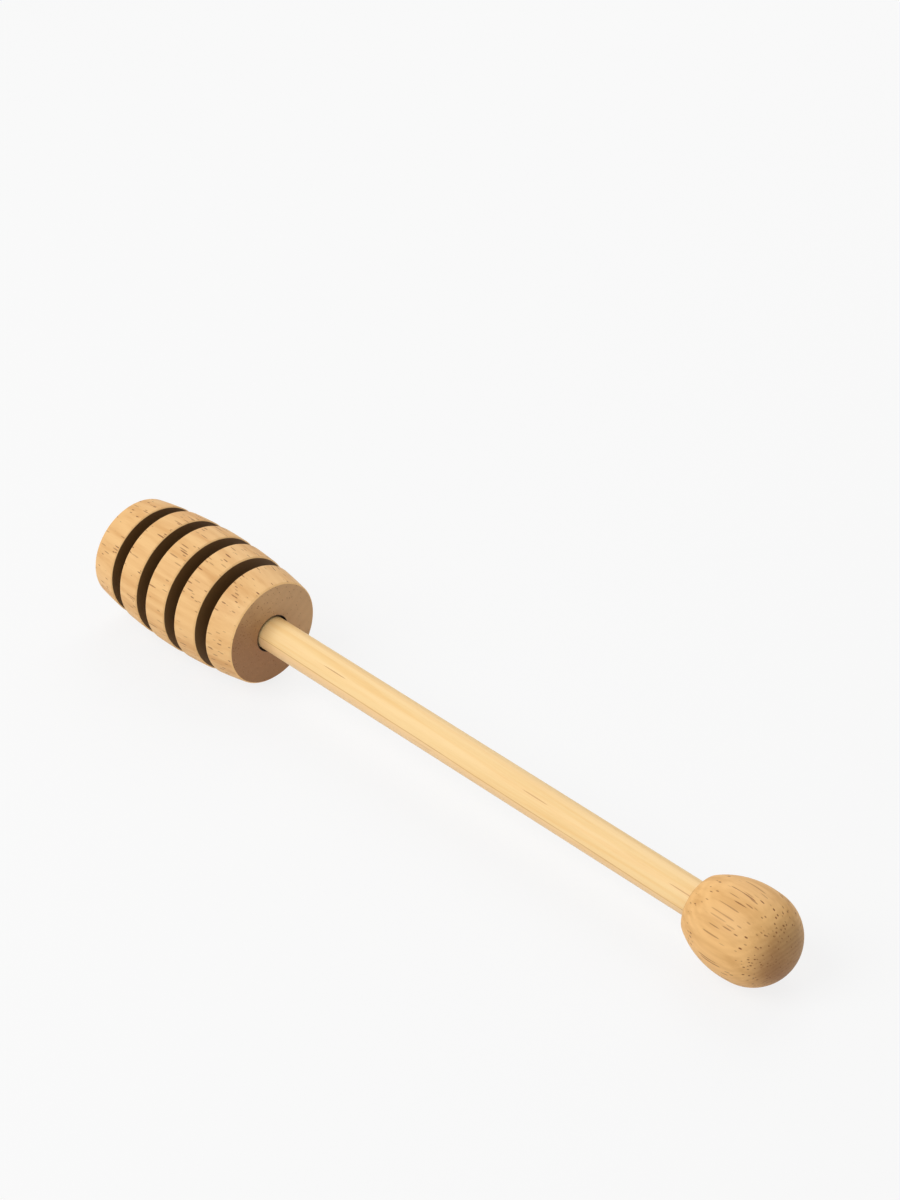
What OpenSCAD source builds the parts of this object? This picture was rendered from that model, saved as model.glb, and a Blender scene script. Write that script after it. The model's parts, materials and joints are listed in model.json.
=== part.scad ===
// Honey dipper: a grooved barrel head and an egg-shaped knob, both turned from
// rubberwood, glued on the two ends of a plain pine dowel. It lies on a table:
// the head's barrel and the knob's belly touch z = 0, the knob towards +X.

/* [Dipper head] */
// Length of the barrel, between its two flat ends
head_len = 47.4; // [42:0.1:60]
// Diameter of the barrel at its middle
head_d = 29.2; // [26:0.1:36]
// Diameter of the flat ends
head_end_d = 24.8; // [22:0.1:25.8]
// Number of grooves that hold the honey
groove_count = 4; // [2:1:5]
// Width of one groove
groove_w = 3.4; // [2:0.1:4]
// Width of the ring of wood at each end of the barrel
end_ring_w = 7.3; // [6:0.1:9]
// Diameter of the core that is left inside the grooves
core_d = 14; // [12:0.1:18]
// Radius in the two corners at the bottom of a groove
groove_corner_r = 0.6; // [0.2:0.1:0.9]
// Bevel that breaks the sharp edges of the rings
edge_break = 0.25; // [0.1:0.05:0.5]

/* [Handle] */
// Diameter of the dowel
dowel_d = 8; // [6:0.1:9]
// Length of dowel that shows between the head and the knob
grip_len = 129.3; // [100:0.1:160]
// Bevel on the dowel's two ends
dowel_bevel = 0.8; // [0.4:0.1:1.2]

/* [Knob] */
// Diameter of the knob where it is widest
knob_d = 20.4; // [18:0.1:24]
// Length of the knob, from its flat face to its tip
knob_len = 23.3; // [21:0.1:26]
// Distance from the flat face to the widest place
knob_shoulder = 11.5; // [10:0.1:12.5]
// Diameter of the flat face that the dowel goes into
knob_face_d = 13.4; // [12.4:0.1:15]
// Radius of the gentle curve just past the widest place
knob_belly_r = 30; // [26:1:50]
// Bevel that breaks the sharp edge of the flat face
knob_edge_break = 0.2; // [0.1:0.05:0.4]

/* [Glued joints] */
// Depth of dowel that sits in the head
head_seat = 15; // [10:0.5:20]
// Depth of dowel that sits in the knob
knob_seat = 12; // [8:0.5:14]
// Gap for glue all round the dowel in the head's hole
head_glue_gap = 0.45; // [0.15:0.05:0.6]
// Gap for glue all round the dowel in the knob's hole, a closer fit
knob_glue_gap = 0.15; // [0.1:0.05:0.4]
// Room for surplus glue past the end of the dowel
glue_room = 1; // [0.5:0.1:2]
// Bare gap between the glue and the mouth of the hole
glue_setback = 2; // [0.5:0.1:4]

/* [Hidden] */
$fn = 96;

head_r = head_d / 2;
head_end_r = head_end_d / 2;
core_r = core_d / 2;
dowel_r = dowel_d / 2;
head_socket_r = dowel_r + head_glue_gap;
knob_socket_r = dowel_r + knob_glue_gap;
knob_r = knob_d / 2;
knob_face_r = knob_face_d / 2;

// The barrel's side is one arc through the middle and both ends.
barrel_rise = head_r - head_end_r;
barrel_arc_r = arc_radius(head_len / 2, barrel_rise);
inner_ring_w = (head_len - 2 * end_ring_w - groove_count * groove_w) / (groove_count - 1);
groove_pitch = groove_w + inner_ring_w;

// The knob's outline is three arcs, each tangent to the next: shoulder, belly, tip.
knob_shoulder_r = arc_radius(knob_shoulder, knob_r - knob_face_r);
knob_cap = knob_len - knob_shoulder;
knob_tip_r = tip_radius(knob_r, knob_cap, knob_belly_r);
knob_tip_z = knob_len - knob_tip_r;
// Height at which the belly arc runs into the tip arc
knob_tangent_z = knob_tip_z
    + knob_tip_r * (knob_tip_z - knob_shoulder) / (knob_belly_r - knob_tip_r);

// Places along the turning axis: 0 is the head's far end, the knob's tip is last.
knob_z = head_len + grip_len;
dowel_len = head_seat + grip_len + knob_seat;
head_socket_depth = head_seat + glue_room;
knob_socket_depth = knob_seat + glue_room;

// The lowest arcs of the head and the knob rest on one plane, which leans the axis.
// Each arc's centre is that far above the axis, on the side away from the table.
barrel_centre_h = barrel_arc_r - head_r;
belly_centre_h = knob_belly_r - knob_r;
rest_run = knob_z + knob_shoulder - head_len / 2;
rest_rise = barrel_centre_h - belly_centre_h;
rest_lean = asin((barrel_arc_r - knob_belly_r) / norm([rest_run, rest_rise]))
    - atan2(rest_rise, rest_run);
axis_h = barrel_arc_r - barrel_centre_h * cos(rest_lean) + head_len / 2 * sin(rest_lean);

// The origin is under the middle of the dipper as it lies.
reach_head = -(head_end_r - edge_break) * sin(rest_lean);
reach_knob = (knob_z + knob_tip_z) * cos(rest_lean) + knob_tip_r;
mid_x = (reach_head + reach_knob) / 2;

// Radius of an arc that rises by rise over half its chord.
function arc_radius(half_chord, rise) = (half_chord * half_chord + rise * rise) / (2 * rise);

// Radius of a tip arc on the axis that ends a cap and is tangent to the belly arc.
function tip_radius(r, cap, belly_r) =
    (2 * belly_r * r - r * r - cap * cap) / (2 * (belly_r - cap));

// Radius of the barrel at a distance along the axis.
function barrel_r(z) =
    head_r - barrel_arc_r + sqrt(pow(barrel_arc_r, 2) - pow(z - head_len / 2, 2));

function groove_start(i) = end_ring_w + i * groove_pitch;

// Lays a piece that is drawn along +Z on the table, pointing to +X.
module lie() {
    translate([-mid_x, 0, axis_h]) rotate([0, 90 + rest_lean, 0]) children();
}

// A band of the half plane from z0 to z1, out to radius r.
module band(r, z0, z1) {
    translate([0, z0]) square([r, z1 - z0]);
}

// A slice of a disc whose centre may lie off the axis, between z0 and z1.
module arc_slice(arc_r, centre_x, centre_z, z0, z1) {
    intersection() {
        translate([centre_x, centre_z]) circle(r = arc_r, $fn = 360);
        band(2 * arc_r, z0, z1);
    }
}

// Cut that bevels the rim, at radius r, of a face at height z. The wood lies above
// the face where wood_side is 1 and below it where wood_side is -1.
module rim_bevel(r, z, size, wood_side) {
    outside = z - wood_side * size;
    polygon([[r - size, z], [r + size, z + wood_side * 2 * size],
             [r + size, outside], [r - size, outside]]);
}

module barrel_outline() {
    difference() {
        arc_slice(barrel_arc_r, head_r - barrel_arc_r, head_len / 2, 0, head_len);
        rim_bevel(head_end_r, 0, edge_break, 1);
        rim_bevel(head_end_r, head_len, edge_break, -1);
    }
}

// Cut of one groove: straight walls, round corners at the core, bevels at the mouth.
module groove_outline(z) {
    top = z + groove_w;
    wall_x = core_r + groove_corner_r;
    translate([wall_x, z]) square([head_r, groove_w]);
    translate([core_r, z + groove_corner_r])
        square([groove_corner_r * 2, groove_w - 2 * groove_corner_r]);
    for (corner_z = [z + groove_corner_r, top - groove_corner_r])
        translate([wall_x, corner_z]) circle(r = groove_corner_r);
    rim_bevel(barrel_r(z), z, edge_break, -1);
    rim_bevel(barrel_r(top), top, edge_break, 1);
}

module dipper_head() {
    color("burlywood") rotate_extrude() difference() {
        barrel_outline();
        for (i = [0 : groove_count - 1]) groove_outline(groove_start(i));
        band(head_socket_r, head_len - head_socket_depth, head_len + edge_break);
    }
}

// The whole dowel, with a bevel at each end.
module handle_dowel() {
    end_r = dowel_r - dowel_bevel;
    color("navajowhite") translate([0, 0, head_len - head_seat]) {
        cylinder(h = dowel_bevel, r1 = end_r, r2 = dowel_r);
        translate([0, 0, dowel_bevel]) cylinder(h = dowel_len - 2 * dowel_bevel, r = dowel_r);
        translate([0, 0, dowel_len - dowel_bevel]) cylinder(h = dowel_bevel, r1 = dowel_r, r2 = end_r);
    }
}

// The knob's half outline, its flat face at z = 0 and its tip at z = knob_len.
module knob_outline() {
    difference() {
        union() {
            arc_slice(knob_shoulder_r, knob_r - knob_shoulder_r, knob_shoulder, 0, knob_shoulder);
            arc_slice(knob_belly_r, knob_r - knob_belly_r, knob_shoulder,
                      knob_shoulder, knob_tangent_z);
            arc_slice(knob_tip_r, 0, knob_tip_z, knob_tangent_z, knob_len + knob_tip_r);
        }
        rim_bevel(knob_face_r, 0, knob_edge_break, 1);
        band(knob_socket_r, -knob_edge_break, knob_socket_depth);
    }
}

module end_knob() {
    color("burlywood") translate([0, 0, knob_z]) rotate_extrude() knob_outline();
}

// Cured glue in the blind hole of the head: a cup round the end of the dowel.
module head_glue() {
    color("wheat") difference() {
        translate([0, 0, head_len - head_socket_depth])
            cylinder(h = head_socket_depth - glue_setback, r = head_socket_r);
        handle_dowel();
    }
}

// The same in the blind hole of the knob.
module knob_glue() {
    color("wheat") difference() {
        translate([0, 0, knob_z + glue_setback])
            cylinder(h = knob_socket_depth - glue_setback, r = knob_socket_r);
        handle_dowel();
    }
}

lie() dipper_head();
lie() handle_dowel();
lie() end_knob();
lie() head_glue();
lie() knob_glue();
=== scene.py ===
# %% [markdown]
# A wooden honey dipper. Two turned pieces of rubberwood, a grooved barrel and an egg-shaped knob,
# are glued on the ends of a pale dowel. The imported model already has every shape, so this lesson
# is about light, a camera that matches the photograph, and wood that is solid all the way through:
# the same pattern shows streaks along the side of a piece and dots on its cut ends.

# %% Load the model
import json
import math

import bpy
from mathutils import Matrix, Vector


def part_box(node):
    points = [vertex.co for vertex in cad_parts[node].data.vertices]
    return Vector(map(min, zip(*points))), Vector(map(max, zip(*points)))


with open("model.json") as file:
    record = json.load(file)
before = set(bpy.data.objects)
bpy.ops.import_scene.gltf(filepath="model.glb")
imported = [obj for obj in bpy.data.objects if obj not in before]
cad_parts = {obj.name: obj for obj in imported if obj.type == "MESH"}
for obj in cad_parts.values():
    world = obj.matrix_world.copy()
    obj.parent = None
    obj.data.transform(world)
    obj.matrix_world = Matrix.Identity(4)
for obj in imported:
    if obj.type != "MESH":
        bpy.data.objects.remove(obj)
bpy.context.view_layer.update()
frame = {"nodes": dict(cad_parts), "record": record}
print("nodes:", sorted(frame["nodes"]))

# %% [markdown]
# The dipper was turned about one straight axis, and it lies on the table with that axis leaning a
# little towards the knob. The record states a flat face at the far end of the barrel. Its centre
# and its direction give the axis, so no angle is typed in here.

# %% Find the turning axis
METRE_TO_MM = 1000
far_end = [mount for mount in frame["record"]["mounts"] if mount["name"] == "head_end"][0]
axis_start = Vector(far_end["pos_m"])
axis = -Vector(far_end["axis"]).normalized()
lean = math.atan2(-axis.z, axis.x)
print("lean, degrees:", round(math.degrees(lean), 2))

# %% [markdown]
# The wood's pattern needs two lengths: where the barrel ends, and where the knob begins. The box
# round a leaning piece reaches a little past the piece, so the corners of its mesh are measured
# instead, each one along the axis.


# %% Measure along the axis
def axial_span(node_name):
    """Where a node starts and ends along the axis, in mm from the far end of the barrel."""
    piece = frame["nodes"][node_name]
    corners = [piece.matrix_world @ vertex.co for vertex in piece.data.vertices]
    reaches = [(corner - axis_start).dot(axis) * METRE_TO_MM for corner in corners]
    return min(reaches), max(reaches)


barrel_length = axial_span("dipper_head")[1]
knob_face = axial_span("end_knob")[0]
print("barrel length, mm:", round(barrel_length, 2), "knob begins at, mm:", round(knob_face, 2))

# %% [markdown]
# The camera stands as the photographer's did. A long lens from about three quarters of a metre
# gives the mild perspective that makes the knob look a little large beside the barrel. It could be
# placed by eye, but three numbers say it better: how far round it stands, how high it looks down
# from, and which spot on the table lies in the middle of the picture.

# %% Place the camera
view_round = math.radians(45.74)
view_down = math.radians(33.10)
view_distance = 0.7521
table_spot = Vector((-0.0499, 0.0529, 0))
lens_mm = 96

look = Vector((
    -math.sin(view_round) * math.cos(view_down),
    math.cos(view_round) * math.cos(view_down),
    -math.sin(view_down),
))
camera_data = bpy.data.cameras.new("camera")
camera_data.lens = lens_mm
camera = bpy.data.objects.new("camera", camera_data)
camera.location = table_spot - look * view_distance
camera.rotation_euler = look.to_track_quat("-Z", "Y").to_euler()
bpy.context.scene.collection.objects.link(camera)
bpy.context.scene.camera = camera
print("camera at", [round(value, 3) for value in camera.location])

# %% [markdown]
# Colours are written as sRGB hex, as a paint chart would give them. Blender mixes light in linear
# values, so one function turns every colour over.


# %% Colours
def linear(hex_colour):
    """A colour such as "#E6B884" as linear red, green, blue and alpha."""
    parts = [int(hex_colour[start:start + 2], 16) / 255 for start in (1, 3, 5)]
    straight = [part / 12.92 if part <= 0.04045 else ((part + 0.055) / 1.055) ** 2.4 for part in parts]
    return (*straight, 1.0)


print("middle grey in linear light:", round(linear("#808080")[0], 3))

# %% [markdown]
# A material is a chain of nodes. Each could be made and wired in four or five lines, but then the
# wiring hides the wood. One function adds a node of any kind with its settings and its links. A
# link may be a plain value, a socket, or simply the node before it.


# %% Nodes
def join(tree, value, socket):
    """Fills a socket with a plain value, with another socket, or with a node's first shown output."""
    if isinstance(value, bpy.types.Node):
        value = next(output for output in value.outputs if output.enabled)
    if isinstance(value, bpy.types.NodeSocket):
        tree.links.new(value, socket)
    else:
        socket.default_value = value


def add_node(tree, kind, settings=None, links=None):
    """Adds a node. settings are its properties, links fill its shown inputs by name or by number."""
    node = tree.nodes.new(kind)
    for name, value in (settings or {}).items():
        setattr(node, name, value)
    shown = [socket for socket in node.inputs if socket.enabled]
    named = {socket.name: socket for socket in shown}
    for place, value in (links or {}).items():
        join(tree, value, named[place] if isinstance(place, str) else shown[place])
    return node


# %% Settings that come back often
PLUS = {"operation": "ADD"}
MINUS = {"operation": "SUBTRACT"}
TIMES = {"operation": "MULTIPLY"}
POWER = {"operation": "POWER"}
UNSIGNED = {"operation": "ABSOLUTE"}
BELOW = {"operation": "LESS_THAN"}
DOT = {"operation": "DOT_PRODUCT"}
SMOOTH = {"interpolation_type": "SMOOTHSTEP"}
COLOUR = {"data_type": "RGBA"}

# %% [markdown]
# Wood is solid, so its pattern is worked out in the log and not on the surface. Every pattern here
# reads one set of coordinates: millimetres along the turning axis, then across it. They come from
# the object's own coordinates, which are metres on the table, moved to the far end of the barrel
# and leaned with the dipper. A real millimetre can then be typed wherever a size is needed.


# %% Coordinates in the wood, in millimetres
def start_material(name):
    """A new material, its tree, its principled shader and the coordinates in the wood."""
    material = bpy.data.materials.new(name)
    material.use_nodes = True
    tree = material.node_tree
    shader = tree.nodes["Principled BSDF"]
    millimetre = 1 / METRE_TO_MM
    in_wood = add_node(tree, "ShaderNodeMapping", {"vector_type": "TEXTURE"}, {
        "Vector": add_node(tree, "ShaderNodeTexCoord").outputs["Object"],
        "Location": axis_start,
        "Rotation": (0, lean, 0),
        "Scale": (millimetre, millimetre, millimetre),
    })
    return material, tree, shader, in_wood


# %% Distance along the axis and off it
def along_and_off(tree, in_wood):
    """How far a point lies along the axis, and how far off it, in mm."""
    parts = add_node(tree, "ShaderNodeSeparateXYZ", None, {"Vector": in_wood})
    y_squared = add_node(tree, "ShaderNodeMath", POWER, {0: parts.outputs["Y"], 1: 2.0})
    z_squared = add_node(tree, "ShaderNodeMath", POWER, {0: parts.outputs["Z"], 1: 2.0})
    both = add_node(tree, "ShaderNodeMath", PLUS, {0: y_squared, 1: z_squared})
    off_axis = add_node(tree, "ShaderNodeMath", {"operation": "SQRT"}, {0: both})
    return parts.outputs["X"], off_axis


# %% Coordinates for a stretched pattern
def stretched(tree, in_wood, along, across, slant=0.0, shift=(0, 0, 0)):
    """Coordinates for a pattern whose parts are along mm long and across mm wide."""
    turned = add_node(tree, "ShaderNodeMapping", None, {
        "Vector": in_wood,
        "Location": shift,
        "Rotation": (0, math.radians(slant), math.radians(slant)),
    })
    return add_node(tree, "ShaderNodeMapping", None, {
        "Vector": turned,
        "Scale": (1 / along, 1 / across, 1 / across),
    })


# %% [markdown]
# Rubberwood's mark is its pores: sap tubes about a quarter of a millimetre wide that were cut open
# on the lathe. Lengthwise they leave short brown dashes, and on an end cut they leave dots. A
# picture of dashes would smear at the ends, so each pore is a thin cigar in space. A Voronoi
# texture gives one point to each cell of a stretched grid, and the wood close to a point is a pore.
# The pores are drawn nearly half as wide again as real ones, because finer ones would not show.


# %% Pores
def pores(tree, in_wood, length, width, spacing, share, slant, shift):
    """Dark cigars in the wood, length by width mm, one for each spacing mm across. 0 to 1.

    share is how many of the cells have one, and each pore has its own darkness.
    """
    reach = width / 2 / spacing
    full_dark = reach * 0.7
    faintest = 0.35
    cells = add_node(tree, "ShaderNodeTexVoronoi", {"feature": "F1"}, {
        "Vector": stretched(tree, in_wood, length / 2 / reach, spacing, slant, shift),
        "Scale": 1.0,
    })
    inside = add_node(tree, "ShaderNodeMapRange", SMOOTH, {
        "Value": cells.outputs["Distance"],
        "From Min": reach,
        "From Max": full_dark,
    })
    chance = add_node(tree, "ShaderNodeSeparateColor", None, {"Color": cells.outputs["Color"]})
    kept = add_node(tree, "ShaderNodeMath", BELOW, {0: chance.outputs["Red"], 1: share})
    darkness = add_node(tree, "ShaderNodeMapRange", None, {
        "Value": chance.outputs["Green"],
        "To Min": faintest,
    })
    some = add_node(tree, "ShaderNodeMath", TIMES, {0: inside, 1: kept})
    return add_node(tree, "ShaderNodeMath", TIMES, {0: some, 1: darkness})


# %% Long and short pores
def open_pores(tree, in_wood, stick):
    """Long pores, and between them a few short ones that lean the other way. 0 to 1."""
    length = stick["pore_length"]
    width = stick["pore_width"]
    spacing = stick["pore_spacing"]
    shift = stick["shift"]
    other_shift = (7, *shift[1:])
    long_pores = pores(tree, in_wood, length, width, spacing, share=0.7, slant=3.0, shift=shift)
    short_pores = pores(tree, in_wood, length / 3, width, spacing, share=0.25, slant=-3.0, shift=other_shift)
    return add_node(tree, "ShaderNodeMath", {"operation": "MAXIMUM"}, {0: long_pores, 1: short_pores})


# %% [markdown]
# Between the pores lie the fibres, which give soft streaks, and through everything go the rings
# that the tree added as it grew. A wave texture draws rings round the pith, the middle of the
# trunk. The sticks were sawn from beside the pith, so it lies outside them and only arcs show.


# %% Fibres
def fibres(tree, in_wood, along, across, shift=(0, 0, 0)):
    """Soft streaks in the wood, 0 to 1."""
    streaks = add_node(tree, "ShaderNodeTexNoise", None, {
        "Vector": stretched(tree, in_wood, along, across, 1.0, shift),
        "Scale": 1.0,
        "Detail": 3.0,
        "Roughness": 0.6,
    })
    return streaks.outputs["Fac"]


# %% Growth rings
def growth_rings(tree, in_wood, ring_mm, pith):
    """Rings of the tree round a pith that lies pith mm off the axis. 0 to 1."""
    # Blender's wave texture has 20 times its scale radians to a unit of length.
    ring_scale = 2 * math.pi / 20 / ring_mm
    # The growth rings stay nearly straight along the trunk, so length counts for a twentieth.
    settings = {"wave_type": "RINGS", "rings_direction": "X", "wave_profile": "SIN"}
    rings = add_node(tree, "ShaderNodeTexWave", settings, {
        "Vector": stretched(tree, in_wood, 20, 1, 1.5, (0, *pith)),
        "Scale": ring_scale,
        "Distortion": 2.0,
        "Detail": 2.0,
        "Detail Scale": 0.35,
    })
    return rings.outputs["Fac"]


# %% [markdown]
# Both turned pieces are sanded rubberwood with no varnish. Side grain sends most light back and
# looks honey-coloured. An end cut swallows light between its fibres, so it is greyer and darker.
# Two materials would leave a hard line where one becomes the other. Here the surface's own
# direction blends them, as the lathe's curve does: the more it faces the axis, the more end grain.

# %% The pores' brown, the painted shade in the holes, and the direction down and to the front
PORE_BROWN = "#7E430A"
# Painted shade for the walls of the holes, which lie in the shade of the gap round the dowel.
PAINTED_GAP_SHADE = "#3A2410"
# The end cuts are darker towards the side that lies down and to the front, and the dowel's sheet of late
# wood lies across this direction.
down_and_front = (0, -0.68, -0.73)


# %% Where the surface crosses the fibres
def end_cut(tree, start, full):
    """1 where the surface is cut across the fibres, 0 where it runs along them.

    start and full are how far its normal leans towards the axis, from 0 to 1.
    """
    normal = add_node(tree, "ShaderNodeNewGeometry").outputs["Normal"]
    facing = add_node(tree, "ShaderNodeVectorMath", DOT, {0: normal, 1: axis})
    either_way = add_node(tree, "ShaderNodeMath", UNSIGNED, {0: facing})
    return add_node(tree, "ShaderNodeMapRange", SMOOTH, {
        "Value": either_way,
        "From Min": start,
        "From Max": full,
    })


# %% Side grain
def side_grain(tree, light, dark, figure, rings):
    """Light wood with broad darker patches, crossed by faint growth rings."""
    patch = add_node(tree, "ShaderNodeMapRange", SMOOTH, {
        "Value": figure,
        "From Min": 0.4,
        "From Max": 0.75,
    })
    patchy = add_node(tree, "ShaderNodeMix", COLOUR, {"Factor": patch, "A": light, "B": dark})
    faint = add_node(tree, "ShaderNodeMath", TIMES, {0: rings, 1: 0.22})
    return add_node(tree, "ShaderNodeMix", COLOUR, {"Factor": faint, "A": patchy, "B": dark})


# %% End grain
def end_grain(tree, in_wood, cut, pore, figure, rings, ring_share):
    """Greyer wood with growth rings, darker towards its lower front."""
    ring = add_node(tree, "ShaderNodeMath", TIMES, {0: rings, 1: ring_share})
    ringed = add_node(tree, "ShaderNodeMix", COLOUR, {"Factor": ring, "A": cut, "B": pore})
    off_centre = add_node(tree, "ShaderNodeVectorMath", DOT, {0: in_wood, 1: down_and_front})
    uneven = add_node(tree, "ShaderNodeMath", TIMES, {0: figure, 1: 6.0})
    towards_dark = add_node(tree, "ShaderNodeMath", PLUS, {0: off_centre, 1: uneven})
    shade = add_node(tree, "ShaderNodeMapRange", SMOOTH, {
        "Value": towards_dark,
        "From Min": -5.0,
        "From Max": 9.0,
    })
    # The end cut is darker towards its lower front.
    lower_front_darkening = add_node(tree, "ShaderNodeMath", TIMES, {0: shade, 1: 0.62})
    return add_node(tree, "ShaderNodeMix", COLOUR, {"Factor": lower_front_darkening, "A": ringed, "B": pore})


# %% [markdown]
# The wall of each hole lies in the shade of the gap round the dowel, and a painted shade darkens it, so a
# dark line shows round its mouth. The wall needs no material of its own: it is the wood that lies close to
# the hole's radius and between its mouth and its bottom.


# %% The wall of a drilled hole
def hole_wall(tree, in_wood, hole):
    """1 on the wall of a hole, 0 elsewhere. hole has its radius, mouth and bottom in mm."""
    along, off_axis = along_and_off(tree, in_wood)
    within = add_node(tree, "ShaderNodeMapRange", SMOOTH, {
        "Value": off_axis,
        "From Min": hole["radius"] + 0.16,
        "From Max": hole["radius"] + 0.04,
    })
    middle = (hole["mouth"] + hole["bottom"]) / 2
    half_depth = abs(hole["mouth"] - hole["bottom"]) / 2 + 0.5
    from_middle = add_node(tree, "ShaderNodeMath", MINUS, {0: along, 1: middle})
    either_way = add_node(tree, "ShaderNodeMath", UNSIGNED, {0: from_middle})
    between = add_node(tree, "ShaderNodeMath", BELOW, {0: either_way, 1: half_depth})
    return add_node(tree, "ShaderNodeMath", TIMES, {0: within, 1: between})


# %% [markdown]
# Now the layers go together: side and end grain, a fine streak over both, the open pores, and the
# dark wall of the hole. Bare sanded wood has a broad, weak shine, which is a refractive index of
# 1.5 and a roughness over a half. The pores are open, so a bump map makes them shallow dents.


# %% Streaks and shine
def add_streaks(tree, wood, fine, dark, full, strength):
    """Lays fine darker streaks over the wood."""
    streak = add_node(tree, "ShaderNodeMapRange", SMOOTH, {
        "Value": fine,
        "From Min": 0.5,
        "From Max": full,
    })
    share = add_node(tree, "ShaderNodeMath", TIMES, {0: streak, 1: strength})
    return add_node(tree, "ShaderNodeMix", COLOUR, {"Factor": share, "A": wood, "B": dark})


def sand_wood(tree, shader, fine, holes):
    """Gives bare sanded rubberwood its shine, and dents a twentieth of a millimetre deep."""
    grain = add_node(tree, "ShaderNodeMath", TIMES, {0: fine, 1: 0.25})
    height = add_node(tree, "ShaderNodeMath", MINUS, {0: grain, 1: holes})
    bump = add_node(tree, "ShaderNodeBump", None, {"Height": height, "Strength": 0.5, "Distance": 0.00005})
    join(tree, bump, shader.inputs["Normal"])
    join(tree, 0.58, shader.inputs["Roughness"])
    join(tree, 1.5, shader.inputs["IOR"])


# %% Rubberwood, turned and sanded
def rubberwood(name, stick, hole):
    """Turned rubberwood cut from a stick, drilled with a hole. The last value is its colour so far."""
    material, tree, shader, in_wood = start_material(name)
    light, dark, pore = linear(stick["light"]), linear(stick["dark"]), linear(PORE_BROWN)
    rings = growth_rings(tree, in_wood, stick["ring_mm"], stick["pith"])
    figure = fibres(tree, in_wood, 30, 2.6, stick["shift"])
    fine = fibres(tree, in_wood, 6, 0.35, stick["shift"])
    side = side_grain(tree, light, dark, figure, rings)
    end = end_grain(tree, in_wood, linear(stick["cut"]), pore, figure, rings, stick["ring_share"])
    across = end_cut(tree, stick["cut_starts"], stick["cut_full"])
    wood = add_node(tree, "ShaderNodeMix", COLOUR, {"Factor": across, "A": side, "B": end})
    wood = add_streaks(tree, wood, fine, dark, 0.8, 0.25)
    holes = open_pores(tree, in_wood, stick)
    # Sanding dust fills some of the tubes that an end cut opens.
    dust = add_node(tree, "ShaderNodeMath", TIMES, {0: across, 1: 0.3})
    open_share = add_node(tree, "ShaderNodeMath", MINUS, {0: 0.95, 1: dust})
    seen = add_node(tree, "ShaderNodeMath", TIMES, {0: holes, 1: open_share})
    wood = add_node(tree, "ShaderNodeMix", COLOUR, {"Factor": seen, "A": wood, "B": pore})
    # Painted shade: the hole's wall is darkened to stand for the shade in the gap round the dowel.
    wall = hole_wall(tree, in_wood, hole)
    wood = add_node(tree, "ShaderNodeMix", COLOUR, {"Factor": wall, "A": wood, "B": linear(PAINTED_GAP_SHADE)})
    sand_wood(tree, shader, fine, holes)
    return material, tree, shader, in_wood, wood


# %% [markdown]
# The barrel's stick is pale, and its pores are short and close. The hole in it is a little wider
# than the dowel, so the eye sees a dark line round the dowel where it goes in.

# %% The barrel's wood
barrel_stick = {
    "light": "#F0C182",
    "dark": "#DBA463",
    "cut": "#D2A877",
    "cut_starts": 0.78,
    "cut_full": 0.98,
    "pith": (9, -23),
    "ring_mm": 2.4,
    "ring_share": 0.05,
    "pore_length": 4.2,
    "pore_width": 0.36,
    "pore_spacing": 0.72,
    "shift": (3, 11, 5),
}
barrel_hole = {"radius": 4.45, "mouth": barrel_length, "bottom": barrel_length - 16}
head_wood, tree, shader, in_wood, wood = rubberwood("rubberwood_barrel", barrel_stick, barrel_hole)
print(head_wood.name, "has", len(tree.nodes), "nodes")

# %% [markdown]
# The barrel's grooves were cut by a narrow tool. They are deep and narrow, so their walls lie in shade, and
# a painted shade darkens them. In the photograph they are near black-brown right up to the rim. The painted
# shade could be a second material on those faces, but a test of depth does it without touching the mesh: how
# far below the barrel's curved side a point lies. That side is an arc, worked out from the barrel's length,
# its thickness in the middle and the 24.8 mm across its ends.

# %% The arc of the barrel's side
ends_across = 24.8
low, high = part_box("dipper_head")
middle_radius = (high.y - low.y) / 2 * METRE_TO_MM
half_length = barrel_length / 2
sagitta = middle_radius - ends_across / 2
side_arc = (half_length ** 2 + sagitta ** 2) / (2 * sagitta)
print("radius of the barrel's side, mm:", round(side_arc, 1))

# %% How deep a point lies below that arc
along, off_axis = along_and_off(tree, in_wood)
from_middle = add_node(tree, "ShaderNodeMath", MINUS, {0: along, 1: half_length})
squared = add_node(tree, "ShaderNodeMath", POWER, {0: from_middle, 1: 2.0})
drop = add_node(tree, "ShaderNodeMath", {"operation": "DIVIDE"}, {0: squared, 1: 2 * side_arc})
side_radius = add_node(tree, "ShaderNodeMath", MINUS, {0: middle_radius, 1: drop})
depth = add_node(tree, "ShaderNodeMath", MINUS, {0: side_radius, 1: off_axis})

# %% Painted shade in the grooves, but not on the two end faces
bevel = 0.25
below_bevel = add_node(tree, "ShaderNodeMapRange", SMOOTH, {
    "Value": depth,
    "From Min": bevel,
    "From Max": bevel + 0.1,
})
towards_end = add_node(tree, "ShaderNodeMath", UNSIGNED, {0: from_middle})
between_ends = add_node(tree, "ShaderNodeMapRange", SMOOTH, {
    "Value": towards_end,
    "From Min": half_length - 1,
    "From Max": half_length - 2,
})
painted_groove_shade = add_node(tree, "ShaderNodeMath", TIMES, {0: below_bevel, 1: between_ends})
# Painted shade: the groove walls are darkened to stand for the shade deep in the grooves.
wood = add_node(tree, "ShaderNodeMix", COLOUR, {"Factor": painted_groove_shade, "A": wood, "B": linear("#75552D")})

# %% [markdown]
# The narrow bevels on the rings' edges catch the light as fine lines, and a painted highlight makes them
# paler. A bevel faces halfway between the side and the end face, so the difference of two tests of direction
# finds it. The same test finds the round corners deep in the grooves, which lie in shade.

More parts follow.
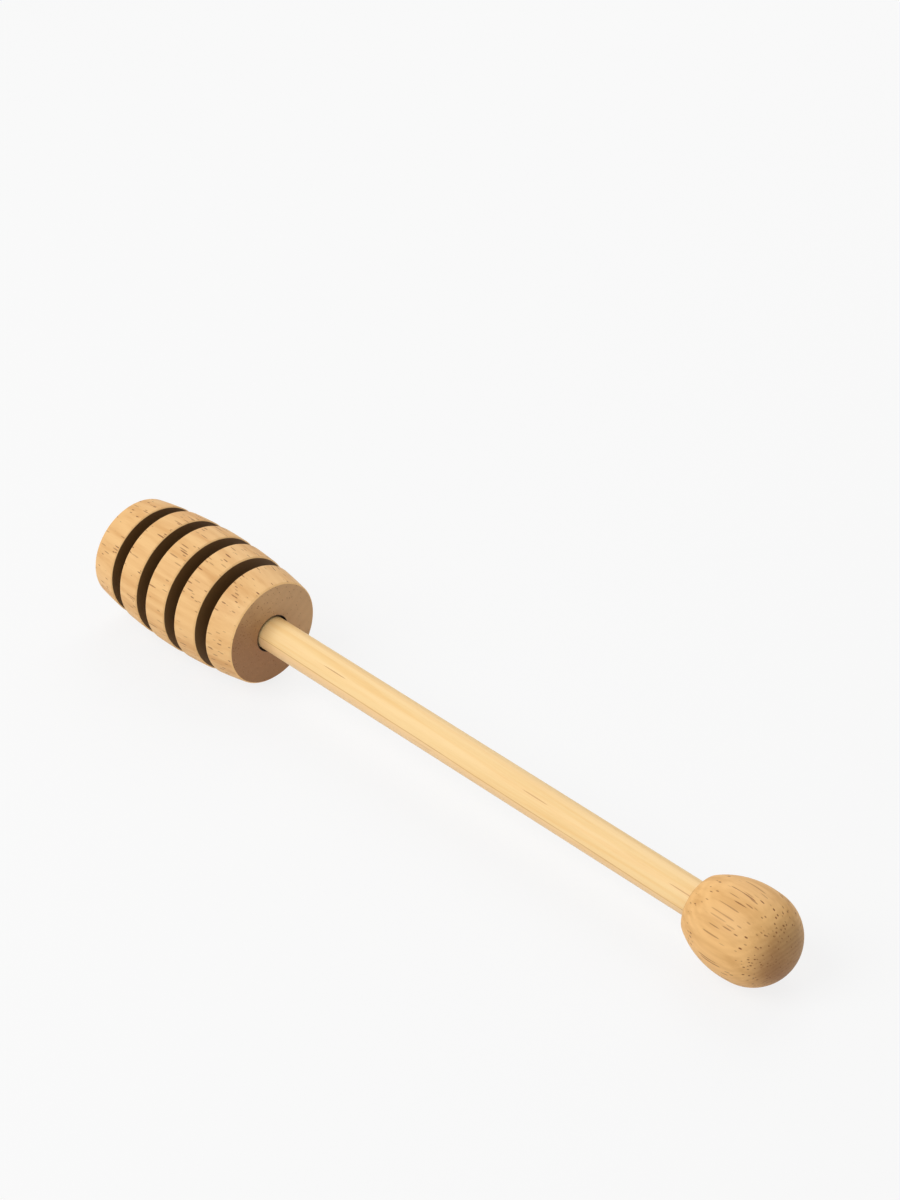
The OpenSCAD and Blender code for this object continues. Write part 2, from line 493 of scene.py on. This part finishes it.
# %% Painted highlight on the rings' bevels
past_side = end_cut(tree, 0.35, 0.6)
near_end = end_cut(tree, 0.74, 0.85)
on_bevel = add_node(tree, "ShaderNodeMath", MINUS, {0: past_side, 1: near_end})
painted_rim_highlight = add_node(tree, "ShaderNodeMath", TIMES, {0: on_bevel, 1: 0.6})
# Painted highlight: the bevels are lightened where they catch the light.
wood = add_node(tree, "ShaderNodeMix", COLOUR, {"Factor": painted_rim_highlight, "A": wood, "B": linear("#FFCF8C")})
join(tree, wood, shader.inputs["Base Color"])
print(head_wood.name, "has", len(tree.nodes), "nodes with its grooves and bevels")

# %% [markdown]
# The knob is from another stick of the same wood, and its pores are longer. Its grain runs along
# the axis, so its waist shows long streaks and its neck and tip show dots.

# %% The knob's wood
knob_stick = {
    "light": "#F2BF7B",
    "dark": "#DBA662",
    "cut": "#C69A62",
    "cut_starts": 0.45,
    "cut_full": 0.97,
    "pith": (-6, 14),
    "ring_mm": 0.9,
    "ring_share": 0.16,
    "pore_length": 13.0,
    "pore_width": 0.38,
    "pore_spacing": 0.74,
    "shift": (19, 2, 31),
}
knob_hole = {"radius": 4.15, "mouth": knob_face, "bottom": knob_face + 13}
knob_wood, tree, shader, in_wood, wood = rubberwood("rubberwood_knob", knob_stick, knob_hole)
join(tree, wood, shader.inputs["Base Color"])
print(knob_wood.name, "has", len(tree.nodes), "nodes")

# %% [markdown]
# The handle is a machine-made dowel of a pale softwood, sanded smooth, so it shines a little more.
# Its ground is cream, with broad soft stripes and fine fibres that run its whole length.

# %% The dowel's ground
dowel_wood, tree, shader, in_wood = start_material("pale_softwood_dowel")
stripe = fibres(tree, in_wood, 70, 1.1, (5, 3, 1))
fine = fibres(tree, in_wood, 12, 0.22, (2, 9, 4))
striped = add_node(tree, "ShaderNodeMapRange", SMOOTH, {
    "Value": stripe,
    "From Min": 0.35,
    "From Max": 0.7,
})
wood = add_node(tree, "ShaderNodeMix", COLOUR, {
    "Factor": striped,
    "A": linear("#FAD699"),
    "B": linear("#F5CB88"),
})
wood = add_streaks(tree, wood, fine, linear("#D9A765"), 0.85, 0.2)
print(dowel_wood.name, "begins with", len(tree.nodes), "nodes")

# %% [markdown]
# The dowel's growth rings are nearly flat over 8 mm, so they run down it as long straight lines.
# One sheet of darker late wood comes out on the side towards the viewer, and drifts slowly round
# the stick. A sheet is a plane in the wood: the line shows where the surface crosses it, and the
# wood beyond it is a little rosier.

# %% How far a point lies beyond the sheet of late wood
late_wood_at = 2.0
late_wood_drift = 0.007
along, off_axis = along_and_off(tree, in_wood)
past_head = add_node(tree, "ShaderNodeMath", MINUS, {0: along, 1: barrel_length})
drifted = add_node(tree, "ShaderNodeMath", TIMES, {0: past_head, 1: late_wood_drift})
sheet = add_node(tree, "ShaderNodeMath", PLUS, {0: drifted, 1: late_wood_at})
uneven = add_node(tree, "ShaderNodeMath", MINUS, {0: stripe, 1: 0.5})
sway = add_node(tree, "ShaderNodeMath", TIMES, {0: uneven, 1: 0.5})
across = add_node(tree, "ShaderNodeVectorMath", DOT, {0: in_wood, 1: down_and_front})
past_sheet = add_node(tree, "ShaderNodeMath", MINUS, {0: across, 1: sheet})
beyond = add_node(tree, "ShaderNodeMath", MINUS, {0: past_sheet, 1: sway})

# %% The rosier wood beyond it
into_rosy = add_node(tree, "ShaderNodeMapRange", SMOOTH, {
    "Value": beyond,
    "From Min": 0.0,
    "From Max": 0.4,
})
rosy = add_node(tree, "ShaderNodeMath", TIMES, {0: into_rosy, 1: 0.55})
wood = add_node(tree, "ShaderNodeMix", COLOUR, {"Factor": rosy, "A": wood, "B": linear("#F0C796")})

# %% The line of late wood
line_half = 0.16
line_core = 0.03
from_sheet = add_node(tree, "ShaderNodeMath", UNSIGNED, {0: beyond})
on_line = add_node(tree, "ShaderNodeMapRange", SMOOTH, {
    "Value": from_sheet,
    "From Min": line_half,
    "From Max": line_core,
})
line = add_node(tree, "ShaderNodeMath", TIMES, {0: on_line, 1: 0.5})
wood = add_node(tree, "ShaderNodeMix", COLOUR, {"Factor": line, "A": wood, "B": linear("#B98246")})

# %% [markdown]
# The dowel has a few thin brown flecks where rubberwood has its pores. The same cigars serve, set
# far apart and faint. The dowel was sanded finer than the turned pieces, so its bump is shallower
# and its shine tighter.

# %% Flecks and shine on the dowel
flecks = pores(tree, in_wood, 9.0, 0.3, 1.1, share=0.3, slant=0.5, shift=(1, 1, 2))
faint_flecks = add_node(tree, "ShaderNodeMath", TIMES, {0: flecks, 1: 0.6})
wood = add_node(tree, "ShaderNodeMix", COLOUR, {"Factor": faint_flecks, "A": wood, "B": linear("#A9692A")})
bump = add_node(tree, "ShaderNodeBump", None, {"Height": fine, "Strength": 0.3, "Distance": 0.00002})
join(tree, wood, shader.inputs["Base Color"])
join(tree, bump, shader.inputs["Normal"])
join(tree, 0.45, shader.inputs["Roughness"])
join(tree, 1.5, shader.inputs["IOR"])
print(dowel_wood.name, "has", len(tree.nodes), "nodes")

# %% [markdown]
# White wood glue dries to an amber film. It lies below the mouth of each hole, where only a thin
# ring of it can be seen, so it is drawn solid, with clouds half a millimetre across.

# %% Cured wood glue
glue_film, tree, shader, in_wood = start_material("cured_wood_glue")
clouds = fibres(tree, in_wood, 0.5, 0.5)
wood_glue = add_node(tree, "ShaderNodeMix", COLOUR, {
    "Factor": clouds,
    "A": linear("#C9A66B"),
    "B": linear("#A88450"),
})
join(tree, wood_glue, shader.inputs["Base Color"])
join(tree, 0.3, shader.inputs["Roughness"])
join(tree, 1.47, shader.inputs["IOR"])
print(glue_film.name, "has", len(tree.nodes), "nodes")

# %% [markdown]
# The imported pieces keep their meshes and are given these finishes. Each has one material slot, and
# assigning to that slot changes the look and nothing else.

# %% Dress the pieces
finishes = {
    "dipper_head": head_wood,
    "end_knob": knob_wood,
    "handle_dowel": dowel_wood,
    "head_glue": glue_film,
    "knob_glue": glue_film,
}
for node_name, finish in finishes.items():
    piece = frame["nodes"][node_name]
    for slot in piece.material_slots:
        slot.material = finish
    print(node_name, "is", finish.name)

# %% [markdown]
# The floor is a sheet of pale card, large enough that no edge of it comes into the picture.

# %% Floor
floor_half = 3.0
corners = [(x * floor_half, y * floor_half, 0) for x, y in ((-1, -1), (1, -1), (1, 1), (-1, 1))]
floor_mesh = bpy.data.meshes.new("floor")
floor_mesh.from_pydata(corners, [], [(0, 1, 2, 3)])
floor = bpy.data.objects.new("floor", floor_mesh)
bpy.context.scene.collection.objects.link(floor)
print("floor, m across:", floor_half * 2)

# %% [markdown]
# The card throws light back up under the barrel, and the photograph's background is an even
# near-white. More light would burn out the wood. The card keeps its ordinary shading instead, and
# the camera alone also sees a plain pale glow on it, mixed with the shading so the shadow stays.

# %% Pale card
card = bpy.data.materials.new("pale_card")
card.use_nodes = True
tree = card.node_tree
shader = tree.nodes["Principled BSDF"]
join(tree, linear("#EDEDED"), shader.inputs["Base Color"])
join(tree, 0.9, shader.inputs["Roughness"])
glow = add_node(tree, "ShaderNodeEmission", None, {"Color": linear("#FBFBFB"), "Strength": 1.0})
rays = add_node(tree, "ShaderNodeLightPath")
seen = add_node(tree, "ShaderNodeMath", {"operation": "ADD", "use_clamp": True}, {
    0: rays.outputs["Is Camera Ray"],
    1: rays.outputs["Is Glossy Ray"],
})
glow_share = add_node(tree, "ShaderNodeMath", TIMES, {0: seen, 1: 0.85})
lifted = add_node(tree, "ShaderNodeMixShader", None, {0: glow_share, 1: shader, 2: glow})
join(tree, lifted, tree.nodes["Material Output"].inputs["Surface"])
floor_mesh.materials.append(card)
print(card.name, "has", len(tree.nodes), "nodes")

# %% [markdown]
# The photograph's light comes from the left, above the camera and a little from the barrel's far
# end, so the rings are bright and the face that the handle leaves is in shade. One large soft lamp
# gives that, and a weaker one behind keeps the dipper's upper edge from going dark.


# %% Lamps
def soft_lamp(name, comes_from, light, distance, width):
    """A square lamp that gives light, in watts to a square metre, to what faces it at the origin."""
    direction = Vector(comes_from).normalized()
    data = bpy.data.lights.new(name, "AREA")
    data.shape = "SQUARE"
    data.size = width
    data.energy = light * math.pi * distance ** 2
    lamp = bpy.data.objects.new(name, data)
    lamp.location = direction * distance
    lamp.rotation_euler = (-direction).to_track_quat("-Z", "Y").to_euler()
    bpy.context.scene.collection.objects.link(lamp)
    print(name, "lamp power, W:", round(data.energy, 1))


soft_lamp("key", (-0.22, -0.66, 0.72), light=1.9, distance=1.0, width=0.7)
soft_lamp("back", (-0.35, 0.62, 0.70), light=1.0, distance=1.0, width=0.7)

# %% [markdown]
# The world is an even pale sky that fills the shade. A dim one lights the wood, and the camera
# sees a brighter one in its place, in the same white as the page.

# %% Sky
sky_light = 0.42
world = bpy.data.worlds.new("sky")
world.use_nodes = True
bpy.context.scene.world = world
tree = world.node_tree
rays = add_node(tree, "ShaderNodeLightPath")
fill = tree.nodes["Background"]
join(tree, (1, 1, 1, 1), fill.inputs["Color"])
join(tree, sky_light, fill.inputs["Strength"])
page = add_node(tree, "ShaderNodeBackground", None, {"Color": linear("#F8F8F8"), "Strength": 1.0})
sky = add_node(tree, "ShaderNodeMixShader", None, {0: rays.outputs["Is Camera Ray"], 1: fill, 2: page})
join(tree, sky, tree.nodes["World Output"].inputs["Surface"])
bpy.context.scene.view_settings.view_transform = "Standard"
print("sky strength:", sky_light)
